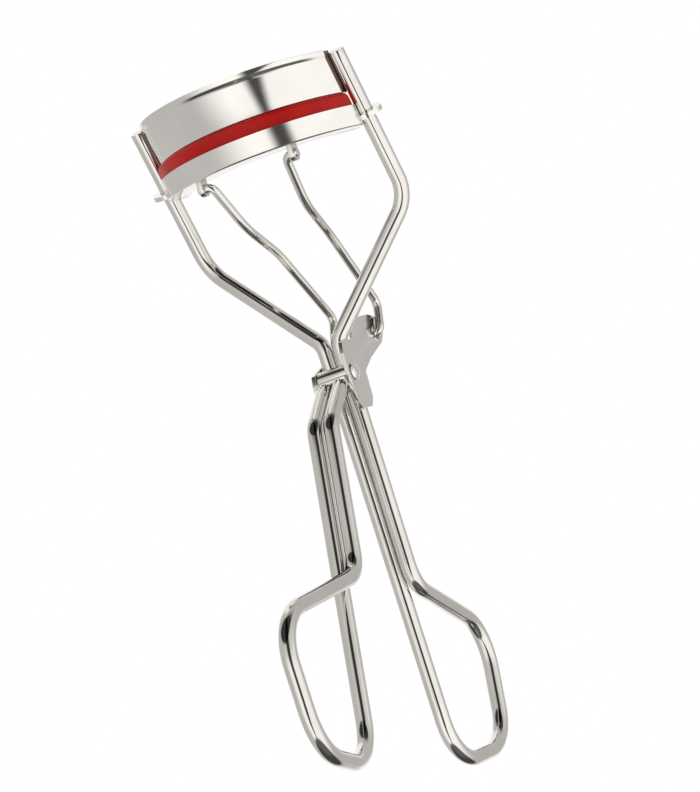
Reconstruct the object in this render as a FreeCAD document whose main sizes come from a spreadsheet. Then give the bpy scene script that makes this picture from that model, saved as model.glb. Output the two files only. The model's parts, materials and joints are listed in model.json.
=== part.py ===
"""Eyelash curler: a wire cage with a fixed upper band, a rubber-padded lower jaw
that slides up the cage's posts, two push rods, and a scissor lever with finger loops.

Axes: +X to the user's right, +Y towards the back handle, +Z from the handles up to
the jaws.  The shapes are drawn with the pivot rivet's centre at the origin.  At the
end every sub-part gets one Placement, which moves the origin to the middle of the
base of the whole object's box.  Units are millimetres and degrees.
"""
import FreeCAD, Part
import math
import os

import Sketcher

V = FreeCAD.Vector
os.makedirs("parts", exist_ok=True)
doc = FreeCAD.newDocument("EyelashCurler")

# --------------------------------------------------------------------------
# Driving sizes
# --------------------------------------------------------------------------
SIZES = {
    # round wire
    "wire_dia": 2.3,
    "rod_dia": 1.3,
    "rod_bend_radius": 1.1,
    # cage: where each side wire bends, and how far its post leans forward
    "post_x": 16.6,
    "post_lean": 21.2,
    "post_foot_y": 6.0,
    "post_foot_z": 21.4,
    "post_top_z": 42.9,
    "post_foot_radius": 6.0,
    "throat_x": 1.2,
    "throat_y": 2.0,
    "throat_top_z": 5.1,
    "throat_radius": 3.0,
    "wire_joint_z": -1.0,
    "joint_gap": 0.06,
    # jaws: one arc, seen from above, carried up along the leaning posts
    "jaw_radius": 17.3,
    "jaw_back_offset": 7.8,
    "band_half_angle": 58.8,
    "band_thickness": 0.8,
    "tongue_half_angle": 63.6,
    "tongue_thickness": 0.4,
    "band_bottom_z": 37.2,
    "band_top_z": 43.25,
    "band_rim_height": 0.7,
    "band_rim_proud": 0.25,
    "post_cutter_reach": 4.0,
    "post_cutter_length": 14.0,
    "bar_half_angle": 56.5,
    "bar_width": 3.4,
    "bar_wall": 0.45,
    "bar_bottom_z": 32.1,
    "bar_top_z": 35.0,
    "groove_floor": 0.6,
    "groove_half_angle": 56.0,
    "pad_half_angle": 55.0,
    "pad_width": 2.4,
    "pad_gap": 0.1,
    "pad_fillet": 0.45,
    "lug_radius": 2.4,
    "lug_bottom_z": 33.4,
    "lug_thickness": 0.7,
    "slide_clearance": 0.08,
    # push rods and the tabs that hold their upper ends
    "rod_top_x": 6.1,
    "rod_pivot_z": 30.9,
    "rod_pivot_y": -6.5,
    "rod_pin_end_x": 8.2,
    "tab_inner_x": 7.05,
    "tab_thickness": 0.8,
    "tab_width": 2.2,
    "rod_clearance": 0.06,
    "rod_side_gap": 0.2,
    "rod_shoulder_x": 5.0,
    "rod_shoulder_y": -2.3,
    "rod_shoulder_z": 24.3,
    "rod_shoulder_radius": 10.0,
    "rod_elbow_x": 4.3,
    "rod_elbow_y": 4.1,
    "rod_elbow_z": 19.9,
    "rod_elbow_radius": 14.0,
    "rod_knee_x": 3.7,
    "rod_knee_y": 14.2,
    "rod_knee_z": 9.3,
    "rod_knee_radius": 1.6,
    "rod_hook_end_x": 1.85,
    # lever plates
    "plate_inner_x": 2.45,
    "plate_thickness": 0.6,
    "plate_corner_radius": 0.6,
    "bridge_corner_radius": 0.2,
    "ear_y": 11.7,
    "ear_z": 4.9,
    "ear_hole_radius": 1.1,
    # pivot
    "rivet_radius": 0.75,
    "rivet_head_radius": 1.35,
    "rivet_head_height": 0.45,
    "rivet_tip_radius": 0.5,
    "rivet_clearance": 0.04,
    "rivet_head_gap": 0.08,
    "block_nose_radius": 1.4,
    "block_side_gap": 0.1,
    # front handle
    "front_wire_x": 1.3,
    "front_angle": 19.4,
    "front_offset": 6.75,
    "neck_depth": 9.2,
    "neck_radius": 4.0,
    "root_y": -2.25,
    "root_z": -1.385,
    # finger loops, measured down each handle (depth) and outwards (reach)
    "shoulder_depth": 31.15,
    "loop_corner_depth": 40.9,
    "loop_reach": 22.15,
    "loop_foot_depth": 57.9,
    "loop_foot_reach": 16.3,
    "loop_foot_rise": 0.6,
    "shoulder_radius": 4.5,
    "loop_corner_radius": 7.0,
    "loop_foot_radius": 7.6,
    "loop_heel_radius": 6.6,
    "back_wire_y": 0.8,
}

sheet = doc.addObject("Spreadsheet::Sheet", "Sizes")
for row, (alias, number) in enumerate(SIZES.items(), start=1):
    sheet.set("A%d" % row, alias)
    sheet.set("B%d" % row, str(number))
    sheet.setAlias("B%d" % row, alias)
doc.recompute()


def size(alias):
    """The number in the sheet's cell of that alias."""
    return float(getattr(sheet, alias))


WIRE = size("wire_dia")
ROD = size("rod_dia")
LEAN = math.radians(size("post_lean"))
SLIDE = V(0, -math.sin(LEAN), math.cos(LEAN))
SIDES = (("left", -1), ("right", 1))


def post_y(z):
    """Y of a post's centre line at height z."""
    return size("post_foot_y") - (z - size("post_foot_z")) * math.tan(LEAN)


def arc_centre_y(z):
    """Y of the centre of the jaws' arc at height z."""
    return post_y(z) + size("jaw_back_offset")


# --------------------------------------------------------------------------
# Helpers
# --------------------------------------------------------------------------
def bent_path(points, radii):
    """Straight runs between points, with a tangent arc of each radius at each corner."""
    edges = []
    start = points[0]
    for index, radius in enumerate(radii, start=1):
        corner = points[index]
        into = (corner - points[index - 1]).normalize()
        out = (points[index + 1] - corner).normalize()
        turn = into.getAngle(out)
        reach = radius * math.tan(turn / 2)
        begin = corner - into * reach
        end = corner + out * reach
        middle_way = (out - into).normalize()
        middle = corner + middle_way * (radius / math.cos(turn / 2) - radius)
        if (begin - start).Length > 1e-6:
            edges.append(Part.LineSegment(start, begin).toShape())
        edges.append(Part.Arc(begin, middle, end).toShape())
        start = end
    edges.append(Part.LineSegment(start, points[-1]).toShape())
    return Part.Wire(edges)


def round_wire(points, radii, diameter):
    """A round wire bent along the path, as a solid."""
    path = bent_path(points, radii)
    first = points[1] - points[0]
    ring = Part.Circle(points[0], first, diameter / 2).toShape()
    pipe = path.makePipeShell([Part.Wire([ring])], True, True)
    solid = Part.Solid(pipe) if pipe.ShapeType != "Solid" else pipe
    if solid.Volume < 0:
        solid.reverse()
    expected = path.Length * math.pi * diameter ** 2 / 4
    if abs(solid.Volume - expected) > 0.02 * expected:
        raise RuntimeError("wire volume %.3f, expected %.3f" % (solid.Volume, expected))
    return solid


def mirrored(points):
    """The same points on the other side of the middle plane."""
    return [V(-point.x, point.y, point.z) for point in points]


def wire_part(name, points, radii, diameter):
    """A sub-part that is one bent wire."""
    part = doc.addObject("Part::Feature", name)
    part.Label = name
    part.Shape = round_wire(points, radii, diameter)
    return part


def plane_of(body, role):
    """One of the body's own origin planes."""
    return [item for item in body.Origin.OriginFeatures if item.Role == role][0]


def bound_pad(body, sketch, name, length, symmetric=False):
    """A pad of the sketch whose length is an expression on the sheet."""
    pad = body.newObject("PartDesign::Pad", name)
    pad.Profile = sketch
    pad.setExpression("Length", length)
    if symmetric:
        pad.SideType = "Symmetric"
    return pad


def rounded_outline(sketch, corners, radius):
    """Lines round the corners with a tangent arc of the radius at each of them."""
    count = len(corners)
    starts = []
    ends = []
    for index in range(count):
        corner = corners[index]
        into = (corner - corners[index - 1]).normalize()
        out = (corners[(index + 1) % count] - corner).normalize()
        reach = radius * math.tan(into.getAngle(out) / 2)
        starts.append(corner - into * reach)
        ends.append(corner + out * reach)
    for index in range(count):
        corner = corners[index]
        into = (corner - corners[index - 1]).normalize()
        out = (corners[(index + 1) % count] - corner).normalize()
        half = into.getAngle(out) / 2
        middle = corner + (out - into).normalize() * (radius / math.cos(half) - radius)
        sketch.addGeometry(Part.LineSegment(ends[index - 1], starts[index]), False)
        sketch.addGeometry(Part.Arc(starts[index], middle, ends[index]), False)


def arc_slot(name, half_angle, width, rounded):
    """A sketch of the jaws' arc with a width, its ends rounded or square."""
    sketch = doc.addObject("Sketcher::SketchObject", name)
    radius = size("jaw_radius")
    low = math.radians(270 - half_angle)
    high = math.radians(270 + half_angle)
    up = V(0, 0, 1)
    inner = radius - width / 2
    outer = radius + width / 2
    sketch.addGeometry(Part.ArcOfCircle(Part.Circle(V(), up, inner), low, high), False)
    sketch.addGeometry(Part.ArcOfCircle(Part.Circle(V(), up, outer), low, high), False)
    for angle, way in ((low, -1), (high, 1)):
        ray = V(math.cos(angle), math.sin(angle), 0)
        along = V(-math.sin(angle), math.cos(angle), 0) * way
        if rounded:
            tip = ray * radius + along * (width / 2)
            sketch.addGeometry(Part.Arc(ray * inner, tip, ray * outer), False)
        else:
            sketch.addGeometry(Part.LineSegment(ray * inner, ray * outer), False)
    return sketch


def leaning_solid(name, sketch, bottom, top):
    """The sketch carried up along the posts between two heights of the sheet."""
    solid = doc.addObject("Part::Extrusion", name)
    solid.Base = sketch
    solid.DirMode = "Custom"
    solid.Dir = SLIDE
    solid.Solid = True
    solid.setExpression("LengthFwd", "(%s - (%s)) / cos(Sizes.post_lean * 1deg)" % (top, bottom))
    solid.setExpression("Placement.Base.z", bottom)
    solid.setExpression(
        "Placement.Base.y",
        "Sizes.post_foot_y + Sizes.jaw_back_offset"
        " - (%s - Sizes.post_foot_z) * tan(Sizes.post_lean * 1deg)" % bottom,
    )
    return solid


def leaning_cylinder(name, side, radius, z, length):
    """A cylinder about a post's centre line, starting at height z."""
    post = doc.addObject("Part::Cylinder", name)
    post.setExpression("Radius", radius)
    post.Height = length
    post.Placement = FreeCAD.Placement(
        V(side * size("post_x"), post_y(z), z),
        FreeCAD.Rotation(V(0, 0, 1), SLIDE),
    )
    return post


def boolean(kind, name, base, tool):
    """A Part cut or fusion of two objects."""
    result = doc.addObject("Part::" + kind, name)
    result.Base = base
    result.Tool = tool
    return result


# --------------------------------------------------------------------------
# Cage: two side wires that run from the throat out to the posts
# --------------------------------------------------------------------------
def cage_points():
    """Centre line of the right cage wire, from the joint in the throat to its tip."""
    return [
        V(size("throat_x"), size("throat_y"), size("wire_joint_z")),
        V(size("throat_x"), size("throat_y"), size("throat_top_z")),
        V(size("post_x"), size("post_foot_y"), size("post_foot_z")),
        V(size("post_x"), post_y(size("post_top_z")), size("post_top_z")),
    ]


cage_radii = [size("throat_radius"), size("post_foot_radius")]
cage_wire_right = wire_part("cage_wire_right", cage_points(), cage_radii, WIRE)
cage_wire_left = wire_part("cage_wire_left", mirrored(cage_points()), cage_radii, WIRE)


# --------------------------------------------------------------------------
# Handles: each is one wire bent into a finger loop
# --------------------------------------------------------------------------
def loop_points(half_gap):
    """(depth, reach, x) of a finger loop, from the shoulder round to the straight side."""
    return [
        (size("shoulder_depth"), 0.0, half_gap),
        (size("loop_corner_depth"), size("loop_reach"), 0.0),
        (size("loop_foot_depth"), size("loop_foot_reach"), 0.0),
        (size("loop_foot_depth") - size("loop_foot_rise"), 0.0, -half_gap),
    ]


LOOP_RADII = [
    size("shoulder_radius"), size("loop_corner_radius"),
    size("loop_foot_radius"), size("loop_heel_radius"),
]


def back_handle_points():
    """The back handle hangs straight down; its loop reaches backwards."""
    gap = size("throat_x")
    foot = size("back_wire_y")
    top_z = size("wire_joint_z") - size("joint_gap")
    loop = [V(x, foot + reach, -depth) for depth, reach, x in loop_points(gap)]
    return [V(gap, size("throat_y"), top_z)] + loop + [V(-gap, size("throat_y"), top_z)]


def front_handle_points():
    """The front handle leans forward; its wires bend in to meet the lever plates."""
    gap = size("front_wire_x")
    angle = math.radians(size("front_angle"))
    down = V(0, -math.sin(angle), -math.cos(angle))
    out = V(0, -math.cos(angle), math.sin(angle))
    base = out * size("front_offset")
    loop = []
    for depth, reach, x in loop_points(gap):
        loop.append(base + down * depth + out * reach + V(x, 0, 0))
    neck = base + down * size("neck_depth")
    root = V(0, size("root_y"), size("root_z"))
    right = V(gap, 0, 0)
    return [root + right, neck + right] + loop + [neck - right, root - right]


back_handle = wire_part("back_handle", back_handle_points(), LOOP_RADII, WIRE)
front_radii = [size("neck_radius")] + LOOP_RADII + [size("neck_radius")]
front_handle = wire_part("front_handle", front_handle_points(), front_radii, WIRE)


# --------------------------------------------------------------------------
# Upper band: fixed between the posts, with a raised rim along its top
# --------------------------------------------------------------------------
def make_upper_band():
    """A leaning arc of sheet; a thin tongue at each end is brazed to the post."""
    angle = size("band_half_angle")
    face = leaning_solid(
        "band_face",
        arc_slot("band_face_sketch", angle, size("band_thickness"), False),
        "Sizes.band_bottom_z",
        "Sizes.band_top_z",
    )
    rim_width = size("band_thickness") + 2 * size("band_rim_proud")
    rim = leaning_solid(
        "band_rim",
        arc_slot("band_rim_sketch", angle, rim_width, False),
        "Sizes.band_top_z - Sizes.band_rim_height",
        "Sizes.band_top_z",
    )
    tongues = leaning_solid(
        "band_tongues",
        arc_slot(
            "band_tongue_sketch", size("tongue_half_angle"), size("tongue_thickness"), False
        ),
        "Sizes.band_bottom_z",
        "Sizes.band_top_z",
    )
    blank = boolean("Fuse", "band_and_rim", face, rim)
    blank = boolean("Fuse", "band_blank", blank, tongues)
    for side_name, side in SIDES:
        post = leaning_cylinder(
            "band_seat_" + side_name, side, "Sizes.wire_dia / 2",
            size("band_bottom_z") - size("post_cutter_reach"), size("post_cutter_length"),
        )
        blank = boolean("Cut", "band_cut_" + side_name, blank, post)
    blank.Label = "upper_band"
    return blank


upper_band = make_upper_band()


# --------------------------------------------------------------------------
# Lower jaw: a channel with a lug round each post, the pad in it, two rod tabs
# --------------------------------------------------------------------------
def make_lower_jaw():
    """An arc channel; its two end lugs ride on the posts."""
    block = leaning_solid(
        "bar_block",
        arc_slot("bar_sketch", size("bar_half_angle"), size("bar_width"), True),
        "Sizes.bar_bottom_z",
        "Sizes.bar_top_z",
    )
    body = block
    for side_name, side in SIDES:
        lug = leaning_cylinder(
            "lug_disc_" + side_name, side, "Sizes.lug_radius",
            size("lug_bottom_z"), size("lug_thickness"),
        )
        body = boolean("Fuse", "bar_with_lug_" + side_name, body, lug)
    groove_width = size("bar_width") - 2 * size("bar_wall")
    groove = leaning_solid(
        "bar_groove",
        arc_slot("groove_sketch", size("groove_half_angle"), groove_width, True),
        "Sizes.bar_bottom_z + Sizes.groove_floor",
        "Sizes.bar_top_z + Sizes.bar_wall",
    )
    body = boolean("Cut", "bar_channel", body, groove)
    for side_name, side in SIDES:
        bore = leaning_cylinder(
            "lug_bore_" + side_name, side, "Sizes.wire_dia / 2 + Sizes.slide_clearance",
            size("bar_bottom_z") - size("post_cutter_reach"), size("post_cutter_length"),
        )
        body = boolean("Cut", "bar_bored_" + side_name, body, bore)
    body.Label = "lower_jaw"
    return body


def make_jaw_pad():
    """The soft pad fills the channel and stands up to the band."""
    blank = leaning_solid(
        "pad_blank",
        arc_slot("pad_sketch", size("pad_half_angle"), size("pad_width"), True),
        "Sizes.bar_bottom_z + Sizes.groove_floor",
        "Sizes.band_bottom_z - Sizes.pad_gap",
    )
    doc.recompute()
    top = size("band_bottom_z") - size("pad_gap")
    rims = []
    for index, edge in enumerate(blank.Shape.Edges, start=1):
        if abs(edge.BoundBox.ZMin - top) < 1e-4 and abs(edge.BoundBox.ZMax - top) < 1e-4:
            rims.append((index, size("pad_fillet"), size("pad_fillet")))
    pad = doc.addObject("Part::Fillet", "pad_rounded")
    pad.Base = blank
    pad.Edges = rims
    pad.Label = "jaw_pad"
    return pad


lower_jaw = make_lower_jaw()
jaw_pad = make_jaw_pad()


def make_rod_tab(side_name, side):
    """A small tab under the channel, bored for the push rod's bent end."""
    body = doc.addObject("PartDesign::Body", "rod_tab_" + side_name)
    body.Label = "rod_tab_" + side_name
    sketch = body.newObject("Sketcher::SketchObject", "rod_tab_outline_" + side_name)
    sketch.AttachmentSupport = (plane_of(body, "YZ_Plane"), "")
    sketch.MapMode = "FlatFace"
    centre = V(size("rod_pivot_y"), size("rod_pivot_z"), 0)
    half = size("tab_width") / 2
    top = size("bar_bottom_z")
    left_foot = V(centre.x - half, centre.y, 0)
    right_foot = V(centre.x + half, centre.y, 0)
    left_top = V(centre.x - half, top, 0)
    right_top = V(centre.x + half, top, 0)
    sketch.addGeometry(Part.LineSegment(right_top, left_top), False)
    sketch.addGeometry(Part.LineSegment(left_top, left_foot), False)
    sketch.addGeometry(Part.Arc(left_foot, V(centre.x, centre.y - half, 0), right_foot), False)
    sketch.addGeometry(Part.LineSegment(right_foot, right_top), False)
    hole = sketch.addGeometry(Part.Circle(centre, V(0, 0, 1), ROD / 2), False)
    sketch.addConstraint(Sketcher.Constraint("Radius", hole, ROD / 2))
    sketch.renameConstraint(0, "hole_radius")
    sketch.setExpression("Constraints.hole_radius", "Sizes.rod_dia / 2 + Sizes.rod_clearance")
    pad = bound_pad(body, sketch, "rod_tab_pad_" + side_name, "Sizes.tab_thickness", True)
    body.Tip = pad
    middle = size("tab_inner_x") + size("tab_thickness") / 2
    body.Placement.Base = V(side * middle, 0, 0)
    return body


rod_tabs = [make_rod_tab(side_name, side) for side_name, side in SIDES]


# --------------------------------------------------------------------------
# Push rods: hooked into the tabs above and into the lever's ears below
# --------------------------------------------------------------------------
def rod_points():
    """Centre line of the right push rod, from its upper pin to its lower hook."""
    outside = size("plate_inner_x") + size("plate_thickness") + size("rod_side_gap") + ROD / 2
    pivot_y = size("rod_pivot_y")
    pivot_z = size("rod_pivot_z")
    return [
        V(size("rod_pin_end_x"), pivot_y, pivot_z),
        V(size("rod_top_x"), pivot_y, pivot_z),
        V(size("rod_shoulder_x"), size("rod_shoulder_y"), size("rod_shoulder_z")),
        V(size("rod_elbow_x"), size("rod_elbow_y"), size("rod_elbow_z")),
        V(size("rod_knee_x"), size("rod_knee_y"), size("rod_knee_z")),
        V(outside, size("ear_y"), size("ear_z")),
        V(size("rod_hook_end_x"), size("ear_y"), size("ear_z")),
    ]


rod_radii = [
    size("rod_bend_radius"), size("rod_shoulder_radius"),
    size("rod_elbow_radius"), size("rod_knee_radius"), size("rod_bend_radius"),
]
push_rod_right = wire_part("push_rod_right", rod_points(), rod_radii, ROD)
push_rod_left = wire_part("push_rod_left", mirrored(rod_points()), rod_radii, ROD)


# --------------------------------------------------------------------------
# Lever: two plates with ears, joined by a bridge, on the front handle's wires
# --------------------------------------------------------------------------
LEVER_FOOT = [
    V(-1.95, -1.1, 0),
    V(-1.7, -4.2, 0),
    V(-1.0, -5.4, 0),
    V(2.45, -5.4, 0),
    V(3.6, -4.0, 0),
    V(4.0, -0.25, 0),
    V(7.3, 1.5, 0),
    V(12.9, 3.5, 0),
    V(14.6, 5.0, 0),
]


def right_outline():
    """(Y, Z) corners of the right plate: broad, with a notch behind the cage wire."""
    ear = [V(14.6, 7.2, 0), V(10.9, 7.9, 0), V(4.3, 7.6, 0), V(3.55, 5.7, 0)]
    return LEVER_FOOT + ear + [V(3.25, 4.6, 0), V(-1.0, 4.6, 0), V(-1.7, 2.8, 0)]


def left_outline():
    """(Y, Z) corners of the left plate: a slim arm, hidden behind the cage wire."""
    ear = [V(13.6, 6.9, 0), V(10.0, 6.9, 0), V(7.6, 3.9, 0), V(3.4, 2.6, 0)]
    nose = [V(0.6, 1.8, 0), V(-1.35, 1.1, 0), V(-1.95, -0.4, 0)]
    return [V(-1.9, -2.1, 0), V(3.2, -1.9, 0)] + LEVER_FOOT[5:] + ear + nose


LEVER_OUTLINES = {"left": left_outline, "right": right_outline}


def make_lever_plate(side_name, side):
    """A flat plate with the rivet's hole and the hole for a push rod."""
    name = "lever_plate_" + side_name
    body = doc.addObject("PartDesign::Body", name)
    body.Label = name
    sketch = body.newObject("Sketcher::SketchObject", "lever_outline_" + side_name)
    sketch.AttachmentSupport = (plane_of(body, "YZ_Plane"), "")
    sketch.MapMode = "FlatFace"
    rounded_outline(sketch, LEVER_OUTLINES[side_name](), size("plate_corner_radius"))
    rivet_hole = sketch.addGeometry(Part.Circle(V(), V(0, 0, 1), 1.0), False)
    ear_hole = sketch.addGeometry(
        Part.Circle(V(size("ear_y"), size("ear_z"), 0), V(0, 0, 1), 1.0), False
    )
    sketch.addConstraint(Sketcher.Constraint("Radius", rivet_hole, 1.0))
    sketch.renameConstraint(0, "rivet_hole_radius")
    sketch.setExpression(
        "Constraints.rivet_hole_radius", "Sizes.rivet_radius + Sizes.rivet_clearance"
    )
    sketch.addConstraint(Sketcher.Constraint("Radius", ear_hole, 1.0))
    sketch.renameConstraint(1, "ear_hole_radius")
    sketch.setExpression("Constraints.ear_hole_radius", "Sizes.ear_hole_radius")
    pad = bound_pad(body, sketch, "lever_pad_" + side_name, "Sizes.plate_thickness", True)
    body.Tip = pad
    middle = size("plate_inner_x") + size("plate_thickness") / 2
    body.Placement.Base = V(side * middle, 0, 0)
    return body


lever_plates = [make_lever_plate(side_name, side) for side_name, side in SIDES]


def make_lever_bridge():
    """The front web between the two plates, just clear of the pivot block's nose."""
    body = doc.addObject("PartDesign::Body", "lever_bridge")
    body.Label = "lever_bridge"
    sketch = body.newObject("Sketcher::SketchObject", "bridge_outline")
    sketch.AttachmentSupport = (plane_of(body, "YZ_Plane"), "")
    sketch.MapMode = "FlatFace"
    corners = [V(-2.6, -0.2, 0), V(-2.6, -0.7, 0), V(-1.55, -2.3, 0), V(-1.15, -2.05, 0),
               V(-2.1, -0.6, 0), V(-2.1, -0.2, 0)]
    rounded_outline(sketch, corners, size("bridge_corner_radius"))
    pad = bound_pad(body, sketch, "bridge_pad", "2 * Sizes.plate_inner_x", True)
    body.Tip = pad
    return body


lever_bridge = make_lever_bridge()


# --------------------------------------------------------------------------
# Pivot: a block brazed to the cage wires, and the rivet through it
# --------------------------------------------------------------------------
def x_cylinder(name, radius, start, length):
    """A cylinder along X, with its radius bound to the sheet."""
    cylinder = doc.addObject("Part::Cylinder", name)
    cylinder.setExpression("Radius", radius)
    cylinder.setExpression("Placement.Base.x", start)
    cylinder.setExpression("Height", length)
    cylinder.Placement.Rotation = FreeCAD.Rotation(V(0, 1, 0), 90)
    return cylinder


# Y of the block's back, just clear of the wires it is brazed to
WIRES_FRONT = "Sizes.throat_y - Sizes.wire_dia / 2 - Sizes.joint_gap"


def make_pivot_block():
    """A round-nosed block between the lever plates, in front of the cage wires."""
    start = "-(Sizes.plate_inner_x - Sizes.block_side_gap)"
    length = "2 * (Sizes.plate_inner_x - Sizes.block_side_gap)"
    nose = x_cylinder("block_nose", "Sizes.block_nose_radius", start, length)
    foot = doc.addObject("Part::Box", "block_foot")
    foot.setExpression("Length", length)
    foot.setExpression("Width", WIRES_FRONT)
    foot.setExpression("Height", "2 * Sizes.block_nose_radius")
    foot.setExpression("Placement.Base.x", start)
    foot.setExpression("Placement.Base.z", "-Sizes.block_nose_radius")
    solid = boolean("Fuse", "block_solid", nose, foot)
    behind = doc.addObject("Part::Box", "block_behind")
    behind.setExpression("Length", length)
    behind.setExpression("Width", "2 * Sizes.block_nose_radius")
    behind.setExpression("Height", "2 * Sizes.block_nose_radius")
    behind.setExpression("Placement.Base.x", start)
    behind.setExpression("Placement.Base.y", WIRES_FRONT)
    behind.setExpression("Placement.Base.z", "-Sizes.block_nose_radius")
    trimmed = boolean("Cut", "block_trimmed", solid, behind)
    bore = x_cylinder("block_bore", "Sizes.rivet_radius", start, length)
    block = boolean("Cut", "block_cut", trimmed, bore)
    block.Label = "pivot_block"
    return block


def make_pivot_rivet():
    """The rivet that the lever turns on: a shank with a low, flat-topped dome at each end."""
    body = doc.addObject("PartDesign::Body", "pivot_rivet")
    body.Label = "pivot_rivet"
    sketch = body.newObject("Sketcher::SketchObject", "rivet_profile")
    sketch.AttachmentSupport = (plane_of(body, "XY_Plane"), "")
    sketch.MapMode = "FlatFace"
    face = size("plate_inner_x") + size("plate_thickness") + size("rivet_head_gap")
    shank = size("rivet_radius")
    head = size("rivet_head_radius")
    height = size("rivet_head_height")
    flat = size("rivet_tip_radius")
    tip = face + height
    half_up = face + 0.7 * height
    half_in = (head + flat) / 2
    left_dome = Part.Arc(V(-face, head, 0), V(-half_up, half_in, 0), V(-tip, flat, 0))
    right_dome = Part.Arc(V(tip, flat, 0), V(half_up, half_in, 0), V(face, head, 0))
    sketch.addGeometry(Part.LineSegment(V(-tip, 0, 0), V(tip, 0, 0)), False)
    sketch.addGeometry(Part.LineSegment(V(tip, 0, 0), V(tip, flat, 0)), False)
    sketch.addGeometry(right_dome, False)
    sketch.addGeometry(Part.LineSegment(V(face, head, 0), V(face, shank, 0)), False)
    sketch.addGeometry(Part.LineSegment(V(face, shank, 0), V(-face, shank, 0)), False)
    sketch.addGeometry(Part.LineSegment(V(-face, shank, 0), V(-face, head, 0)), False)
    sketch.addGeometry(left_dome, False)
    sketch.addGeometry(Part.LineSegment(V(-tip, flat, 0), V(-tip, 0, 0)), False)
    turned = body.newObject("PartDesign::Revolution", "rivet_turned")
    turned.Profile = sketch
    turned.ReferenceAxis = (sketch, ["H_Axis"])
    turned.Angle = 360
    body.Tip = turned
    return body


pivot_block = make_pivot_block()
pivot_rivet = make_pivot_rivet()


# --------------------------------------------------------------------------
# Placement, checks and export
# --------------------------------------------------------------------------
sub_parts = [
    cage_wire_left, cage_wire_right, back_handle, upper_band, pivot_block, pivot_rivet,
    front_handle, lever_bridge, lower_jaw, jaw_pad, push_rod_left, push_rod_right,
] + lever_plates + rod_tabs

doc.recompute()

whole = FreeCAD.BoundBox()
for part in sub_parts:
    whole.add(part.Shape.optimalBoundingBox(False, False))
base_shift = V(-(whole.XMin + whole.XMax) / 2, -(whole.YMin + whole.YMax) / 2, -whole.ZMin)
for part in sub_parts:
    part.Placement.Base = part.Placement.Base + base_shift
doc.recompute()

for item in doc.Objects:
    if "Invalid" in item.State or "Error" in item.State:
        raise RuntimeError("failed object: " + item.Name)
for part in sub_parts:
    shape = part.Shape
    if shape.isNull() or not shape.isValid() or len(shape.Solids) != 1:
        raise RuntimeError("bad shape: " + part.Label)

for part in sub_parts:
    part.Shape.exportStep("parts/" + part.Label + ".step")

print("pivot centre at", tuple(round(number, 4) for number in base_shift))
print("size", round(whole.XLength, 3), round(whole.YLength, 3), round(whole.ZLength, 3))
print("sub-parts written:", len(sub_parts))
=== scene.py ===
"""Eyelash curler: polished wire and sheet, a red silicone pad, and a white studio round it.

The lengths below are in millimetres about the pivot rivet's centre, in the CAD's axes:
+X to the user's right, +Y to the back handle, +Z up to the jaws.  at() turns such a point
into the frame's metres.
"""

import json
import math

import bmesh
import bpy
from mathutils import Matrix, Vector


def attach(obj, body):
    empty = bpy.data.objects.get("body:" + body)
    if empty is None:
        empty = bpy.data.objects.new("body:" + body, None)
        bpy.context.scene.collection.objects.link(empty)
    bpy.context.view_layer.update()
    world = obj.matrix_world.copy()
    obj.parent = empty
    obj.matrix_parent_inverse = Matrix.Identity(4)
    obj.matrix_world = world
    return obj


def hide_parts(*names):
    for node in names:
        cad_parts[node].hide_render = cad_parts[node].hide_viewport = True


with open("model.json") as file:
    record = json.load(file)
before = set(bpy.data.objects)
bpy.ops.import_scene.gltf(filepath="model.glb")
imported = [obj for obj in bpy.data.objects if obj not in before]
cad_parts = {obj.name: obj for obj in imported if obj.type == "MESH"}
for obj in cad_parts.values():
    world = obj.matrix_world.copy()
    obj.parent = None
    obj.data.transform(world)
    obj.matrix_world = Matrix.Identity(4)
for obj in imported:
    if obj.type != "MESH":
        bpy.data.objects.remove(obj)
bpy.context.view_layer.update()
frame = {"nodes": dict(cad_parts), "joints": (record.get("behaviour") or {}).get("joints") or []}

MM = 0.001
PIVOT = Vector(next(j for j in frame["joints"] if j["name"] == "lever_pivot")["pos_m"])
SIDES = ("left", "right")


def at(point):
    """A point in millimetres about the rivet, in the frame's metres."""
    return PIVOT + Vector(point) * MM


# ---------------------------------------------------------------------------
# Sizes, as in the CAD
# ---------------------------------------------------------------------------
WIRE = 2.3
ROD = 1.3
LEAN = math.radians(21.2)
POST_X = 16.6
POST_FOOT_Y = 6.0
POST_FOOT_Z = 21.4
POST_FOOT_RADIUS = 6.0
POST_TOP_Z = 42.9
JAW_RADIUS = 17.3
JAW_BACK = 7.8
THROAT_X = 1.2
THROAT_Y = 2.0
THROAT_TOP_Z = 5.1
THROAT_RADIUS = 3.0
WIRE_JOINT_Z = -1.0
JOINT_GAP = 0.06


def post_y(z):
    """Y of a post's centre line at height z."""
    return POST_FOOT_Y - (z - POST_FOOT_Z) * math.tan(LEAN)


# ---------------------------------------------------------------------------
# Meshes
# ---------------------------------------------------------------------------
WELD = 2e-6  # metres: vertices nearer than this become one
CAD_WELD = 5e-6
FLAT_TURN = math.radians(1.0)  # a CAD mesh's faces that turn less than this become one
SHARP_TURN = 0.7  # radians: a CAD mesh's edges that turn more than this are rounded
BASE_MARGIN = 0.02  # mm above a piece's lowest point that still counts as its base
END_KNEE = 0.3  # where the middle ring of a wire's rounded end lies, of its chamfer
END_TIP = 0.05  # how wide a half round stays at its tip, of its full width
END_SQUASH = 0.25  # how much of its height a half round loses at its tip


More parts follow.
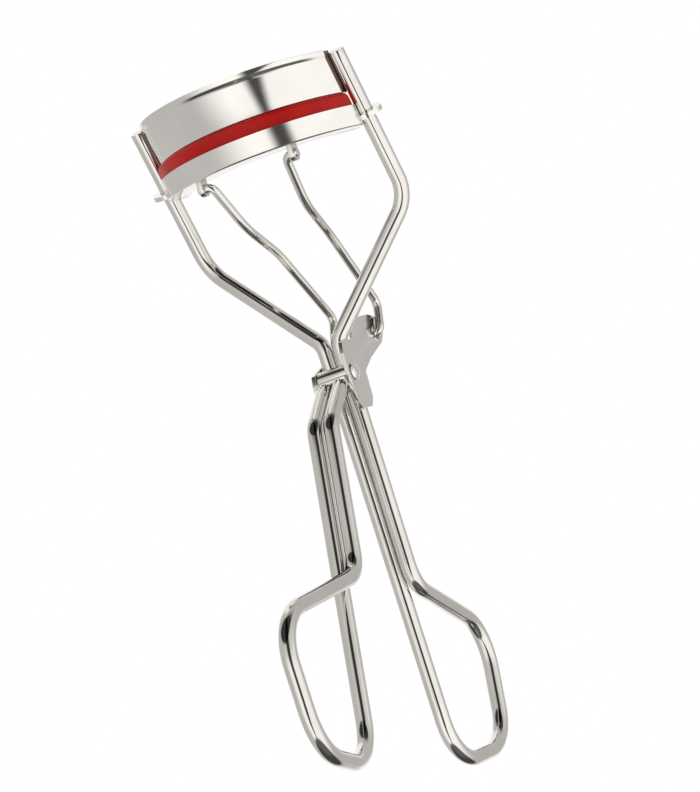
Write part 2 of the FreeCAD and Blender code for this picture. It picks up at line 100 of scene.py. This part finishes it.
def finish_mesh(node, bm, material, body, crease=35):
    """A smooth-shaded object from bm that rides on a body and stands for a CAD node."""
    bmesh.ops.remove_doubles(bm, verts=bm.verts, dist=WELD)
    bmesh.ops.recalc_face_normals(bm, faces=bm.faces)
    name = node + "_smooth"
    mesh = bpy.data.meshes.new(name)
    bm.to_mesh(mesh)
    bm.free()
    mesh.shade_smooth()
    mesh.set_sharp_from_angle(angle=math.radians(crease))
    mesh.materials.append(material)
    obj = bpy.data.objects.new(name, mesh)
    bpy.context.scene.collection.objects.link(obj)
    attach(obj, body)
    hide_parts(node)
    return obj


def corner_arc(before, corner, after, radius, steps):
    """The points of an arc that rounds a corner."""
    into = (corner - before).normalized()
    out = (after - corner).normalized()
    turn = into.angle(out)
    reach = radius * math.tan(turn / 2)
    centre = corner + (out - into).normalized() * (radius / math.cos(turn / 2))
    first = corner - into * reach - centre
    angles = [turn * step / steps for step in range(steps + 1)]
    return [centre + first * math.cos(a) + into * radius * math.sin(a) for a in angles]


def bent_path(points, radii):
    """Straight runs between points, with an arc of each radius at each corner."""
    points = [Vector(point) for point in points]
    path = [points[0]]
    for index, radius in enumerate(radii):
        path += corner_arc(*points[index:index + 3], radius, steps=14)
    path.append(points[-1])
    return path


def refined(path, longest=2.0):
    """The path with its long runs divided."""
    result = [path[0]]
    for first, second in zip(path, path[1:]):
        count = max(1, math.ceil((second - first).length / longest))
        for step in range(1, count + 1):
            result.append(first.lerp(second, step / count))
    return result


def new_verts(result):
    """The vertices among what an operator returned."""
    return [item for item in result["geom"] if isinstance(item, bmesh.types.BMVert)]


def new_edges(result):
    """The edges among what an operator returned."""
    return [item for item in result["geom"] if isinstance(item, bmesh.types.BMEdge)]


def tube(bm, path, diameter, chamfer=0.12, sides=28):
    """A round wire in bm: a circle carried along the path, with slightly rounded ends."""
    radius = diameter / 2
    inset = chamfer / radius
    path = refined(path)
    stations = []
    across = (path[1] - path[0]).orthogonal().normalized()
    for index, point in enumerate(path):
        before = path[max(index - 1, 0)]
        after = path[min(index + 1, len(path) - 1)]
        tangent = (after - before).normalized()
        across = (across - tangent * across.dot(tangent)).normalized()
        rings = [(0.0, 1.0)]
        if index == 0:
            rings = [(0.0, 1 - inset), (END_KNEE, 1 - END_KNEE * inset), (1.0, 1.0)]
        elif index == len(path) - 1:
            rings = [(-1.0, 1.0), (-END_KNEE, 1 - END_KNEE * inset), (0.0, 1 - inset)]
        for along, width in rings:
            turn = Matrix((across, tangent.cross(across), tangent)).transposed().to_4x4()
            place = Matrix.Translation(at(point + tangent * along * chamfer))
            stations.append(place @ turn @ Matrix.Diagonal((width, width, 1, 1)))
    ring = bmesh.ops.create_circle(
        bm, cap_ends=True, segments=sides, radius=radius * MM, matrix=stations[0]
    )
    edges = list({edge for vert in ring["verts"] for edge in vert.link_edges})
    for before, after in zip(stations, stations[1:]):
        extruded = bmesh.ops.extrude_edge_only(bm, edges=edges)
        bmesh.ops.transform(bm, matrix=after @ before.inverted(), verts=new_verts(extruded))
        rim = set(new_verts(extruded))
        edges = [edge for edge in new_edges(extruded) if set(edge.verts) <= rim]
    bmesh.ops.contextual_create(bm, geom=edges)


def wire_piece(node, body, points, radii, diameter):
    """A bent wire that stands for a CAD node."""
    bm = bmesh.new()
    tube(bm, bent_path(points, radii), diameter)
    finish_mesh(node, bm, WIRE_METAL, body)


def mirrored(points):
    """The points on the other side of the middle plane."""
    return [(-x, y, z) for x, y, z in points]


def round_edges(bm, edges, reach):
    """Rounds the edges over by that many millimetres."""
    bmesh.ops.bevel(
        bm, geom=edges, offset=reach * MM, segments=4, profile=0.5, material=-1,
        affect="EDGES", clamp_overlap=True,
    )


def smooth_copy(node, body, material, bevel, base_bevel=0.0):
    """A merged, bevelled, smooth-shaded copy of a CAD node that stands for it.

    With base_bevel, the edges round its lowest face are rounded by that much instead.
    """
    bm = bmesh.new()
    bm.from_mesh(frame["nodes"][node].data)
    bmesh.ops.remove_doubles(bm, verts=bm.verts, dist=CAD_WELD)
    bmesh.ops.dissolve_limit(bm, angle_limit=FLAT_TURN, verts=bm.verts, edges=bm.edges)
    sharp = [
        e for e in bm.edges if len(e.link_faces) == 2 and e.calc_face_angle() > SHARP_TURN
    ]
    if base_bevel:
        base = min(vert.co.z for vert in bm.verts) + BASE_MARGIN * MM
        lowest = [e for e in sharp if max(vert.co.z for vert in e.verts) < base]
        sharp = [e for e in sharp if e not in set(lowest)]
        round_edges(bm, lowest, base_bevel)
        sharp = [e for e in sharp if e.is_valid]
    round_edges(bm, sharp, bevel)
    finish_mesh(node, bm, material, body, crease=30)


def arc_sweep(bm, half_angle, profile, round_ends=0.0, steps=96):
    """A closed (offset, height) profile spun round the jaws' arc, leaning with the posts.

    With round_ends, the right end closes in a half round that stands out by so many millimetres.
    The left end stays flat, and the wall's outermost face beside it is stepped out instead.
    """
    earlier = set(bm.verts)
    start = math.radians(-90 - half_angle)
    turned = Matrix.Rotation(start, 4, "Z")
    corners = [
        bm.verts.new(turned @ Vector((JAW_RADIUS + offset, 0, z)) * MM) for offset, z in profile
    ]
    face = bm.faces.new(corners)
    spun = bmesh.ops.spin(
        bm, geom=[face, *face.edges, *face.verts], axis=(0, 0, 1), cent=(0, 0, 0),
        angle=math.radians(2 * half_angle), steps=steps, use_duplicate=False,
    )
    last = [item for item in spun["geom_last"] if isinstance(item, bmesh.types.BMFace)][0]
    if round_ends:
        turn = math.radians(half_angle)
        outermost = min(bm.faces, key=lambda item: item.calc_center_median().x)
        for end, side in ((outermost, -1), (last, 1)):
            outwards = Vector((side * math.cos(turn), math.sin(turn), 0))
            round_end(bm, end, outwards, round_ends)
    lean = Matrix.Identity(4)
    lean[1][2] = -math.tan(LEAN)
    foot = Vector((0, post_y(0) + JAW_BACK, 0)) * MM
    added = [vert for vert in bm.verts if vert not in earlier]
    bmesh.ops.transform(bm, matrix=Matrix.Translation(PIVOT + foot) @ lean, verts=added)


def round_end(bm, face, outwards, reach, steps=7):
    """Steps a face outwards and narrows it, so that it closes in a half round."""
    radial = outwards.cross(Vector((0, 0, 1))).normalized()
    middle = face.calc_center_median()
    frame_of_end = Matrix.Translation(middle) @ Matrix(
        (radial, outwards, Vector((0, 0, 1)))
    ).transposed().to_4x4()
    turns = [math.radians(90 * step / steps) for step in range(steps + 1)]
    widths = [max(math.cos(turn), END_TIP) for turn in turns]
    heights = [1 - END_SQUASH + END_SQUASH * math.cos(turn) for turn in turns]
    for index in range(steps):
        extruded = bmesh.ops.extrude_discrete_faces(bm, faces=[face])
        face = extruded["faces"][0]
        step_out = outwards * (math.sin(turns[index + 1]) - math.sin(turns[index])) * reach * MM
        wide = widths[index + 1] / widths[index]
        tall = heights[index + 1] / heights[index]
        bmesh.ops.transform(
            bm, matrix=Matrix.Diagonal((wide, 1, tall, 1)), space=frame_of_end.inverted(),
            verts=face.verts,
        )
        bmesh.ops.translate(bm, vec=step_out, verts=face.verts)


def rounded_profile(corners, radius, steps):
    """The closed outline with each corner rounded."""
    corners = [Vector(corner) for corner in corners]
    result = []
    for index, corner in enumerate(corners):
        after = corners[(index + 1) % len(corners)]
        result += corner_arc(corners[index - 1], corner, after, radius, steps)
    return result


# ---------------------------------------------------------------------------
# Materials
# ---------------------------------------------------------------------------
def give(tree, value, target):
    """Links a socket, or sets a plain value, on a node's input."""
    if isinstance(value, Sock):
        tree.links.new(value.socket, target)
    else:
        target.default_value = value


def math_node(tree, kind, *values):
    """A Math node on sockets and plain numbers."""
    node = tree.nodes.new("ShaderNodeMath")
    node.operation = kind
    for value, target in zip(values, node.inputs):
        give(tree, value, target)
    return Sock(tree, node.outputs[0])


class Sock:
    """A node socket with arithmetic, so that shader maths reads as a formula."""

    def __init__(self, tree, socket):
        self.tree = tree
        self.socket = socket

    def __add__(self, other):
        return math_node(self.tree, "ADD", self, other)

    def __sub__(self, other):
        return math_node(self.tree, "SUBTRACT", self, other)

    def __rsub__(self, other):
        return math_node(self.tree, "SUBTRACT", other, self)

    def __mul__(self, other):
        return math_node(self.tree, "MULTIPLY", self, other)

    __radd__ = __add__
    __rmul__ = __mul__

    def ramp(self, low, high):
        """A smooth step from 0 at low to 1 at high."""
        node = self.tree.nodes.new("ShaderNodeMapRange")
        node.interpolation_type = "SMOOTHSTEP"
        self.tree.links.new(self.socket, node.inputs["Value"])
        node.inputs["From Min"].default_value = low
        node.inputs["From Max"].default_value = high
        return Sock(self.tree, node.outputs["Result"])


MIX_COLOURS = (6, 7)  # a Mix node's inputs and output that hold colours
MIX_RESULT = 2


class Shader:
    """One material's node tree, with short ways to add to it."""

    def __init__(self, name):
        self.material = bpy.data.materials.new(name)
        self.material.use_nodes = True
        self.tree = self.material.node_tree
        self.bsdf = self.tree.nodes["Principled BSDF"]
        self.coords = Sock(self.tree, self.node("ShaderNodeTexCoord").outputs["Object"])

    def node(self, kind, links=(), **values):
        """A node with its inputs set or linked, and its settings given in values."""
        node = self.tree.nodes.new(kind)
        for key, value in values.items():
            setattr(node, key, value)
        for key, value in links:
            give(self.tree, value, node.inputs[key])
        return node

    def noise(self, scale, detail, stretch=(1, 1, 1)):
        """Noise on the object's coordinates, stretched along an axis."""
        mapping = self.node(
            "ShaderNodeMapping", [("Vector", self.coords), ("Scale", Vector(stretch))]
        )
        vector = Sock(self.tree, mapping.outputs[0])
        node = self.node(
            "ShaderNodeTexNoise", [("Vector", vector), ("Scale", scale), ("Detail", detail)]
        )
        return Sock(self.tree, node.outputs[0])

    def mix(self, factor, first, second):
        """A colour between two colours."""
        node = self.node("ShaderNodeMix", data_type="RGBA", links=[("Factor", factor)])
        for index, colour in zip(MIX_COLOURS, (first, second)):
            node.inputs[index].default_value = (*colour, 1.0)
        return Sock(self.tree, node.outputs[MIX_RESULT])

    def feed(self, key, value):
        """A value or a socket on the shader's own input."""
        give(self.tree, value, self.bsdf.inputs[key])

    def bump(self, height, strength, distance):
        """Fine relief from a height."""
        node = self.node(
            "ShaderNodeBump",
            [("Height", height), ("Strength", strength), ("Distance", distance)],
        )
        self.feed("Normal", Sock(self.tree, node.outputs[0]))


CLOUDY = (0.3, 0.75)  # the range of a noise over which one colour gives way to another
HAZY = (0.45, 0.8)
SCUFFED = (0.6, 0.85)
HAZE_ROUGHNESS = 0.05
SCUFF_ROUGHNESS = 0.04
SCUFF_RELIEF = 0.02
METAL_RELIEF_DEPTH = 0.0004


def polished_metal(name, tint, shade, roughness, brushed=(1, 1, 1), relief=0.01):
    """Nickel-bright metal with a faint haze, fine scuffs and a soft waviness."""
    shader = Shader(name)
    haze = shader.noise(scale=120.0, detail=4.0)
    scuffs = shader.noise(scale=900.0, detail=2.0, stretch=brushed)
    shader.feed("Base Color", shader.mix(haze.ramp(*CLOUDY), shade, tint))
    shader.feed("Metallic", 1.0)
    worn = haze.ramp(*HAZY) * HAZE_ROUGHNESS + scuffs.ramp(*SCUFFED) * SCUFF_ROUGHNESS
    shader.feed("Roughness", worn + roughness)
    wave = shader.noise(scale=140.0, detail=1.0)
    shader.bump(wave + scuffs * SCUFF_RELIEF, relief, METAL_RELIEF_DEPTH)
    return shader.material


DEEP_RED = (0.74, 0.005, 0.003)
BRIGHT_RED = (0.93, 0.010, 0.005)
PAD_ROUGHNESS = 0.34
GRAIN_ROUGHNESS = 0.12
GRAIN_DEPTH = 0.00005


def red_silicone():
    """Deep red, slightly glossy silicone with a fine mould grain."""
    shader = Shader("red_silicone")
    cloud = shader.noise(scale=220.0, detail=3.0)
    grain = shader.noise(scale=3200.0, detail=2.0)
    shader.feed("Base Color", shader.mix(cloud.ramp(*CLOUDY), DEEP_RED, BRIGHT_RED))
    shader.feed("Roughness", grain * GRAIN_ROUGHNESS + PAD_ROUGHNESS)
    shader.feed("Specular IOR Level", 0.35)
    shader.bump(grain, 0.1, GRAIN_DEPTH)
    return shader.material


WIRE_METAL = polished_metal(
    "wire_metal", tint=(0.86, 0.84, 0.81), shade=(0.78, 0.76, 0.725), roughness=0.07
)
BAND_METAL = polished_metal(
    "band_metal", tint=(0.90, 0.885, 0.86), shade=(0.84, 0.82, 0.79), roughness=0.09
)
PLATE_METAL = polished_metal(
    "plate_metal", tint=(0.91, 0.885, 0.855), shade=(0.84, 0.815, 0.78), roughness=0.16,
    brushed=(1, 1, 8),
)
# Dark brown metal for the strip at the band's ends: painted shade for the gaps between the band
# and the posts.
GAP_SHADE_METAL = polished_metal(
    "painted_gap_shade", tint=(0.36, 0.27, 0.21), shade=(0.16, 0.11, 0.085), roughness=0.32, relief=0.03
)
PAD_RED = red_silicone()


# ---------------------------------------------------------------------------
# Wires
# ---------------------------------------------------------------------------
LOOP_RADII = [4.5, 7.0, 7.6, 6.6]
SHOULDER_DEPTH = 31.15
CORNER_DEPTH = 40.9
CORNER_REACH = 22.15
FOOT_DEPTH = 57.9
FOOT_REACH = 16.3
FOOT_RISE = 0.6
BACK_LINE_Y = 0.8
FRONT_X = 1.3
FRONT_ANGLE = math.radians(19.4)
FRONT_OFFSET = 6.75
NECK_DEPTH = 9.2
NECK_RADIUS = 4.0
ROOT_Y = -2.25
ROOT_Z = -1.385
TAB_Y = -6.5
TAB_Z = 30.9
EAR_Y = 11.7
EAR_Z = 4.9
HOOK_RADIUS = 1.1


def loop_points(half_gap):
    """(depth, reach, x) of a finger loop, from the shoulder round to the straight side."""
    return [
        (SHOULDER_DEPTH, 0.0, half_gap),
        (CORNER_DEPTH, CORNER_REACH, 0.0),
        (FOOT_DEPTH, FOOT_REACH, 0.0),
        (FOOT_DEPTH - FOOT_RISE, 0.0, -half_gap),
    ]


def build_cage():
    """The two side wires with their posts."""
    points = [
        (THROAT_X, THROAT_Y, WIRE_JOINT_Z),
        (THROAT_X, THROAT_Y, THROAT_TOP_Z),
        (POST_X, POST_FOOT_Y, POST_FOOT_Z),
        (POST_X, post_y(POST_TOP_Z), POST_TOP_Z),
    ]
    radii = [THROAT_RADIUS, POST_FOOT_RADIUS]
    wire_piece("cage_wire_right", "frame", points, radii, WIRE)
    wire_piece("cage_wire_left", "frame", mirrored(points), radii, WIRE)


def build_back_handle():
    """The straight handle, which meets the cage wires inside the pivot."""
    top_z = WIRE_JOINT_Z - JOINT_GAP
    points = [(THROAT_X, THROAT_Y, top_z)]
    points += [(x, BACK_LINE_Y + reach, -depth) for depth, reach, x in loop_points(THROAT_X)]
    points += [(-THROAT_X, THROAT_Y, top_z)]
    wire_piece("back_handle", "frame", points, LOOP_RADII, WIRE)


def build_front_handle():
    """The leaning handle, which turns with the lever's plates."""
    gap = Vector((FRONT_X, 0, 0))
    down = Vector((0, -math.sin(FRONT_ANGLE), -math.cos(FRONT_ANGLE)))
    out = Vector((0, -math.cos(FRONT_ANGLE), math.sin(FRONT_ANGLE)))
    base = out * FRONT_OFFSET
    neck = base + down * NECK_DEPTH
    root = Vector((0, ROOT_Y, ROOT_Z))
    points = [root + gap, neck + gap]
    for depth, reach, x in loop_points(FRONT_X):
        points.append(base + down * depth + out * reach + Vector((x, 0, 0)))
    points += [neck - gap, root - gap]
    radii = [NECK_RADIUS, *LOOP_RADII, NECK_RADIUS]
    wire_piece("front_handle", "lever", points, radii, WIRE)


def build_push_rods():
    """The thin hooked wires from the jaw to the lever's ears."""
    pin_end = (8.2, TAB_Y, TAB_Z)
    top = (6.1, TAB_Y, TAB_Z)
    shoulder = (5.0, -2.3, 24.3)
    elbow = (4.3, 4.1, 19.9)
    knee = (3.7, 14.2, 9.3)
    hook = (3.85, EAR_Y, EAR_Z)
    hook_end = (1.85, EAR_Y, EAR_Z)
    points = [pin_end, top, shoulder, elbow, knee, hook, hook_end]
    radii = [HOOK_RADIUS, 10.0, 14.0, 1.6, HOOK_RADIUS]
    for side, route in zip(SIDES, (mirrored(points), points)):
        wire_piece("push_rod_" + side, side + "_rod", route, radii, ROD)


# ---------------------------------------------------------------------------
# Jaws
# ---------------------------------------------------------------------------
BAND_HALF_ANGLE = 58.8
BAND_BOTTOM_Z = 37.2
BAND_TOP_Z = 43.25
BAND_HALF = 0.4  # half the sheet's thickness
BAND_CORNER = 0.05
RIM_HEIGHT = 0.7
RIM_PROUD = 0.25
COVE_FOOT = 0.55  # how far under the rim the cove starts
COVE_BEND_OUT = 0.06
COVE_BEND_DROP = 0.3
COVE_TOP = 0.05  # how far up the rim the cove ends
RIM_STEP = 0.1
TONGUE_HALF_ANGLE = 62.9
TONGUE_HALF = 0.2
TONGUE_DROP = 0.05
PAD_HALF_ANGLE = 57.0
PAD_BOTTOM_Z = 32.75
PAD_TOP_Z = 37.1
PAD_HALF = 1.2
PAD_CORNER = 0.7
PAD_END_REACH = 1.3


def strip(half, bottom, top):
    """The corners of an upright rectangle, as (offset, height)."""
    return [(-half, bottom), (half, bottom), (half, top), (-half, top)]


def build_upper_band():
    """The fixed band: thin sheet with a coved rim along its top, and a thinner strip that runs
    on past its ends to the posts, dark as painted shade for the gaps there.
    """
    rim_z = BAND_TOP_Z - RIM_HEIGHT
    proud = BAND_HALF + RIM_PROUD
    corners = [
        (-BAND_HALF, BAND_BOTTOM_Z),
        (BAND_HALF, BAND_BOTTOM_Z),
        (BAND_HALF, rim_z - COVE_FOOT),
        (BAND_HALF + COVE_BEND_OUT, rim_z - COVE_BEND_DROP),
        (proud, rim_z + COVE_TOP),
        (proud, BAND_TOP_Z),
        (-proud, BAND_TOP_Z),
        (-proud, rim_z),
        (-BAND_HALF, rim_z - RIM_STEP),
    ]
    bm = bmesh.new()
    arc_sweep(bm, BAND_HALF_ANGLE, rounded_profile(corners, BAND_CORNER, steps=2))
    band_faces = set(bm.faces)
    # The thin strip past the band's ends, in dark metal: painted shade for the gaps between the
    # band and the posts.
    arc_sweep(bm, TONGUE_HALF_ANGLE, strip(TONGUE_HALF, BAND_BOTTOM_Z, BAND_TOP_Z - TONGUE_DROP))
    for face in bm.faces:
        face.material_index = 0 if face in band_faces else 1
    band = finish_mesh("upper_band", bm, BAND_METAL, "frame", crease=50)
    band.data.materials.append(GAP_SHADE_METAL)


def build_pad():
    """The red pad, with a full, rounded top above the channel."""
    outline = rounded_profile(strip(PAD_HALF, PAD_BOTTOM_Z, PAD_TOP_Z), PAD_CORNER, steps=8)
    bm = bmesh.new()
    arc_sweep(bm, PAD_HALF_ANGLE, outline, round_ends=PAD_END_REACH)
    finish_mesh("jaw_pad", bm, PAD_RED, "moving_jaw", crease=80)


build_cage()
build_back_handle()
build_front_handle()
build_push_rods()
build_upper_band()
build_pad()
smooth_copy("lower_jaw", "moving_jaw", BAND_METAL, bevel=0.1, base_bevel=0.35)
smooth_copy("pivot_block", "frame", PLATE_METAL, bevel=0.1)
smooth_copy("pivot_rivet", "frame", BAND_METAL, bevel=0.05)
smooth_copy("lever_bridge", "lever", PLATE_METAL, bevel=0.08)
for side in SIDES:
    smooth_copy("lever_plate_" + side, "lever", PLATE_METAL, bevel=0.08)
    smooth_copy("rod_tab_" + side, "moving_jaw", PLATE_METAL, bevel=0.08)


# ---------------------------------------------------------------------------
# Studio
# ---------------------------------------------------------------------------
CAMERA_AZIMUTH = math.radians(23.81)
CAMERA_ELEVATION = math.radians(-3.15)
CAMERA_ROLL = math.radians(18.19)
CAMERA_DISTANCE = 367.8
CAMERA_LENS = 117.41
CAMERA_RIGHT = -1.218
CAMERA_UP = 2.752


def make_camera():
    """The camera in front and to the right, slightly below the pivot's height, rolled."""
    back = Vector((
        math.sin(CAMERA_AZIMUTH) * math.cos(CAMERA_ELEVATION),
        -math.cos(CAMERA_AZIMUTH) * math.cos(CAMERA_ELEVATION),
        math.sin(CAMERA_ELEVATION),
    ))
    level = (-back).cross(Vector((0, 0, 1))).normalized()
    upright = level.cross(-back)
    right = level * math.cos(CAMERA_ROLL) - upright * math.sin(CAMERA_ROLL)
    up = level * math.sin(CAMERA_ROLL) + upright * math.cos(CAMERA_ROLL)
    aim = Vector((0, THROAT_Y, 0)) - right * CAMERA_RIGHT - up * CAMERA_UP
    place = at(aim + back * CAMERA_DISTANCE)
    data = bpy.data.cameras.new("camera")
    data.lens = CAMERA_LENS
    data.clip_start = 0.01
    data.clip_end = 20
    camera = bpy.data.objects.new("camera", data)
    camera.matrix_world = Matrix((
        (right.x, up.x, back.x, place.x),
        (right.y, up.y, back.y, place.y),
        (right.z, up.z, back.z, place.z),
        (0, 0, 0, 1),
    ))
    bpy.context.scene.collection.objects.link(camera)
    bpy.context.scene.camera = camera


# The tent's light. Turns are in degrees to the right of straight ahead, which is towards the
# camera, and heights in degrees above the horizon. Each pair of them says where a smooth
# step starts and where it ends.
AHEAD_AZIMUTH = math.radians(23.8)
SLIT_LEFT_TURNS = (-16, -5)
SLIT_RIGHT_TURNS = (24, 15)
SLIT_SLANT = 0.42
SLIT_DEPTH = 0.94
GLOW_HEIGHTS = (28, -6)
GLOW_REST = 0.1
GLOW_GAIN = 0.48
LEFT_WALL = 0.56
LEFT_GLOW_TURNS = (-75, -30)
RIGHT_WALL = 0.53
RIGHT_GLOW_TURNS = (120, 70)
WALLS_MEET_TURNS = (-2, 2)
CANOPY_HEIGHTS = (36, 43)
CANOPY_LEFT_TURNS = (-125, -95)
CANOPY_RIGHT_TURNS = (115, 75)
CANOPY_DEPTH = 0.93
TABLE_HEIGHTS = (-45, -54)
TABLE_DEPTH = 0.88
BEHIND_TURNS = (140, 160)
BEHIND_LOW_HEIGHTS = (-46, -30)
BEHIND_HIGH_HEIGHTS = (84, 70)
TENT_TINT = (1.0, 0.985, 0.96, 1.0)
WHITE = (1.0, 1.0, 1.0, 1.0)


def tent_light(tree):
    """How bright the tent is by direction: two walls, a dark slit, canopy and table."""
    coords = tree.nodes.new("ShaderNodeTexCoord")
    split = tree.nodes.new("ShaderNodeSeparateXYZ")
    tree.links.new(coords.outputs["Generated"], split.inputs[0])
    x, y, z = (Sock(tree, socket) for socket in split.outputs)
    forwards = x * math.sin(AHEAD_AZIMUTH) - y * math.cos(AHEAD_AZIMUTH)
    sideways = x * math.cos(AHEAD_AZIMUTH) + y * math.sin(AHEAD_AZIMUTH)
    turn = math_node(tree, "ARCTAN2", sideways, forwards) * math.degrees(1)
    height = math_node(tree, "ARCSINE", z) * math.degrees(1)

    glow = GLOW_REST + GLOW_GAIN * height.ramp(*GLOW_HEIGHTS)
    left = LEFT_WALL + turn.ramp(*LEFT_GLOW_TURNS) * glow
    right = RIGHT_WALL + turn.ramp(*RIGHT_GLOW_TURNS) * glow
    side = turn.ramp(*WALLS_MEET_TURNS)
    tent = left * (1 - side) + right * side

    slanted = turn - SLIT_SLANT * height
    slit = turn.ramp(*SLIT_LEFT_TURNS) * slanted.ramp(*SLIT_RIGHT_TURNS)
    tent = tent * (1 - SLIT_DEPTH * slit)
    front = turn.ramp(*CANOPY_LEFT_TURNS) * turn.ramp(*CANOPY_RIGHT_TURNS)
    tent = tent * (1 - CANOPY_DEPTH * (height.ramp(*CANOPY_HEIGHTS) * front))
    tent = tent * (1 - TABLE_DEPTH * height.ramp(*TABLE_HEIGHTS))

    level = height.ramp(*BEHIND_LOW_HEIGHTS) * height.ramp(*BEHIND_HIGH_HEIGHTS)
    behind = math_node(tree, "ABSOLUTE", turn).ramp(*BEHIND_TURNS) * level
    return tent * (1 - behind) + behind


def white_to_camera(tree, shader, white, output):
    """Shows white to the camera and the shader to everything else."""
    path = tree.nodes.new("ShaderNodeLightPath")
    mixer = tree.nodes.new("ShaderNodeMixShader")
    tree.links.new(path.outputs["Is Camera Ray"], mixer.inputs[0])
    tree.links.new(shader.outputs[0], mixer.inputs[1])
    tree.links.new(white.outputs[0], mixer.inputs[2])
    tree.links.new(mixer.outputs[0], output.inputs[0])


def make_world():
    """White where the camera sees it, and the tent for the metal's reflections and light."""
    world = bpy.data.worlds.new("studio")
    world.use_nodes = True
    tree = world.node_tree
    background = tree.nodes["Background"]
    background.inputs["Color"].default_value = TENT_TINT
    give(tree, tent_light(tree), background.inputs["Strength"])
    white = tree.nodes.new("ShaderNodeBackground")
    white.inputs["Color"].default_value = WHITE
    white_to_camera(tree, background, white, tree.nodes["World Output"])
    bpy.context.scene.world = world


FLOOR_RADIUS = 0.6  # metres, as is the drop below the finger loops
FLOOR_DROP = 0.0005


def make_floor():
    """A white floor just under the finger loops, which the metal doesn't reflect."""
    bm = bmesh.new()
    lowered = Matrix.Translation((0, 0, -FLOOR_DROP))
    bmesh.ops.create_circle(
        bm, cap_ends=True, segments=64, radius=FLOOR_RADIUS, matrix=lowered
    )
    mesh = bpy.data.meshes.new("floor")
    bm.to_mesh(mesh)
    bm.free()
    material = bpy.data.materials.new("floor_white")
    material.use_nodes = True
    tree = material.node_tree
    glow = tree.nodes.new("ShaderNodeEmission")
    white_to_camera(
        tree, tree.nodes["Principled BSDF"], glow, tree.nodes["Material Output"]
    )
    mesh.materials.append(material)
    floor = bpy.data.objects.new("floor", mesh)
    bpy.context.scene.collection.objects.link(floor)
    floor.visible_glossy = False


make_camera()
make_world()
make_floor()
bpy.context.scene.view_settings.view_transform = "Standard"
